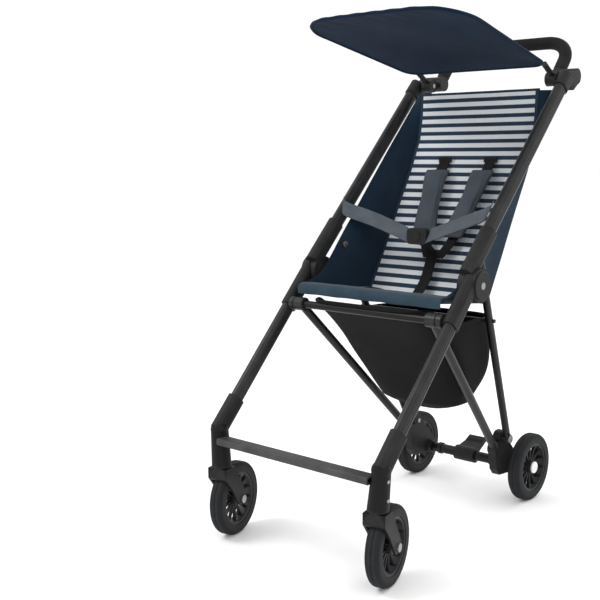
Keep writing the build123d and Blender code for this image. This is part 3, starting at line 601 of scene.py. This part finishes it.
def cushion(name, length, width, thick, place, material, replaced, body="upper_frame"):
    # a sewn pad: a rounded block, swollen as cloth under pressure, then laid along its path
    bpy.ops.mesh.primitive_cube_add(size=1)
    pad = bpy.context.active_object
    pad.name = name
    pad.scale = (width, length, thick * 0.55)
    settle(pad)
    active(pad)
    bpy.ops.object.mode_set(mode="EDIT")
    bpy.ops.mesh.select_all(action="SELECT")
    bpy.ops.mesh.bevel(offset=thick * 0.26, segments=2)
    bpy.ops.object.mode_set(mode="OBJECT")
    cells = pad.modifiers.new("cells", "REMESH")
    cells.mode = "VOXEL"
    cells.voxel_size = 0.003
    applyAll(pad)
    swell = pad.modifiers.new("swell", "CLOTH")
    swell.settings.use_pressure = True
    swell.settings.uniform_pressure_force = 4
    swell.settings.effector_weights.gravity = 0
    rest = [v.co.copy() for v in pad.data.vertices]
    for step in range(1, 21):
        bpy.context.scene.frame_set(step)
    applyAll(pad)
    bpy.context.scene.frame_set(1)
    for vertex, start in zip(pad.data.vertices, rest):
        move = vertex.co - start
        if move.length > thick * 0.3:
            vertex.co = start + move.normalized() * thick * 0.3
    for vertex in pad.data.vertices:
        stitch = min(abs(abs(vertex.co.x) - width * 0.36), abs(abs(vertex.co.y) - (length / 2 - width * 0.14)))
        vertex.co.z *= 1 - 0.35 * math.exp(-(stitch / 0.002) ** 2)
    uvMap = pad.data.uv_layers.new(name="UVMap")
    for loop in pad.data.loops:
        spot = pad.data.vertices[loop.vertex_index].co
        uvMap.data[loop.index].uv = (spot.x + width, spot.y + length)
    for vertex in pad.data.vertices:
        vertex.co = place(vertex.co.x, vertex.co.y / length + 0.5, vertex.co.z)
    smooth = pad.modifiers.new("smooth", "SUBSURF")
    smooth.levels = smooth.render_levels = 1
    applyAll(pad)
    finishPiece(pad, body, material, replaced)
    return pad


for side, sideName, way in straps:
    def padPlace(x, t, h, way=way, side=side):
        a = mix(harness["padLow"], harness["padHigh"], t)
        point, ahead = pathPoint(way, a), pathPoint(way, a + 0.01)
        along = (ahead - point).normalized()
        across = Vector((1, -0.1 * side, 0)).normalized()
        normal = along.cross(across).normalized()
        if normal.y > 0:
            normal.negate()
        return point + across * x + normal * (h + harness["padThick"] * 0.5)
    cushion(f"shoulderPad_{sideName}", harness["padLong"], harness["padWide"], harness["padThick"], padPlace,
            slatePadCloth, ("shoulder_pads",))

crotchWay = [buckleMid + Vector((0, 0.006, -0.010)), Vector((0, backY(0.562) - 0.036, 0.562)),
             Vector((0, backY(0.53) - 0.024, 0.53)), Vector((0, backLow[1] + 0.004, 0.500)),
             Vector((0, backLow[1] - 0.022, 0.476))]
crotchStrap = ribbon("crotchStrap", crotchWay, harness["strapWide"], harness["strapThick"], (1, 0, 0))
finishPiece(crotchStrap, "upper_frame", blackWebbing, ("crotch_strap",))

# two loose strap ends that lie on the seat: x and y of both ends
for index, (start, end, material) in enumerate((((-0.135, 0.045), (-0.062, 0.078), greyWebbing),
                                                ((-0.105, 0.020), (-0.050, 0.060), blackWebbing))):
    lying = []
    for t in (0, 0.25, 0.5, 0.75, 1):
        x, y = mix(start[0], end[0], t), mix(start[1], end[1], t)
        seatTop = mix(baseHigh[2], backLow[2], (y - baseLow[1]) / seat["baseFlat"][1])
        lying.append(Vector((x, y, seatTop + 0.004 + 0.005 * math.sin(math.pi * t))))
    looseEnd = ribbon(f"looseStrap_{index}", lying, harness["looseWide"], harness["looseThick"], (0.45, -1, 0.1),
                      along=24)
    finishPiece(looseEnd, "upper_frame", material)


# the soft pieces and the basket each get a mesh of their own
softNames = ["seatBack", "seatBase", "seatFlap", "crotchStrap", "looseStrap_0", "looseStrap_1"]
for start in ("seatSide", "seatSeam", "shoulderStrap", "bellyStrap", "slotFrame", "shoulderPad"):
    softNames += [f"{start}_left", f"{start}_right"]
for name in softNames:
    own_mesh(bpy.data.objects[name])
for piece in (basketBag, basketHem):
    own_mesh(piece)


print("camera and light")
view = {"place": (1.172, -1.622, 0.757), "turn": 41.14, "down": 8.1, "lens": 59.17}
bpy.ops.object.camera_add(location=view["place"],
                          rotation=(math.radians(90 - view["down"]), 0, math.radians(view["turn"])))
camera = bpy.context.active_object
camera.data.lens = view["lens"]
camera.data.sensor_width = 36
bpy.context.scene.camera = camera

bpy.ops.mesh.primitive_plane_add(size=160, location=(0, 0, 0))
floor = bpy.context.active_object
floor.name = "studioFloor"
paleFloor = Nodes("paleFloor")
paleFloor.set(Base_Color=(0.96, 0.96, 0.96, 1), Roughness=0.9)
floor.data.materials.append(paleFloor.material)
lights = {                                     # place, power and size of each
    "key": ((-1.6, -2.2, 3.2), 60, 1.4), "fill": ((2.8, -1.6, 1.8), 22, 2.0), "back": ((0.5, 2.8, 2.4), 30, 2.0),
}
for lightName, (place, power, size) in lights.items():
    bpy.ops.object.light_add(type="AREA", location=place)
    lamp = bpy.context.active_object
    lamp.name = lightName
    lamp.data.energy = power
    lamp.data.size = size
    lamp.rotation_euler = (Vector((0, 0, 0.5)) - Vector(place)).to_track_quat("-Z", "Y").to_euler()
world = bpy.context.scene.world or bpy.data.worlds.new("studio")
bpy.context.scene.world = world
world.use_nodes = True
world.node_tree.nodes["Background"].inputs["Color"].default_value = (1, 1, 1, 1)
world.node_tree.nodes["Background"].inputs["Strength"].default_value = 1.06
bpy.context.scene.view_settings.view_transform = "Standard"
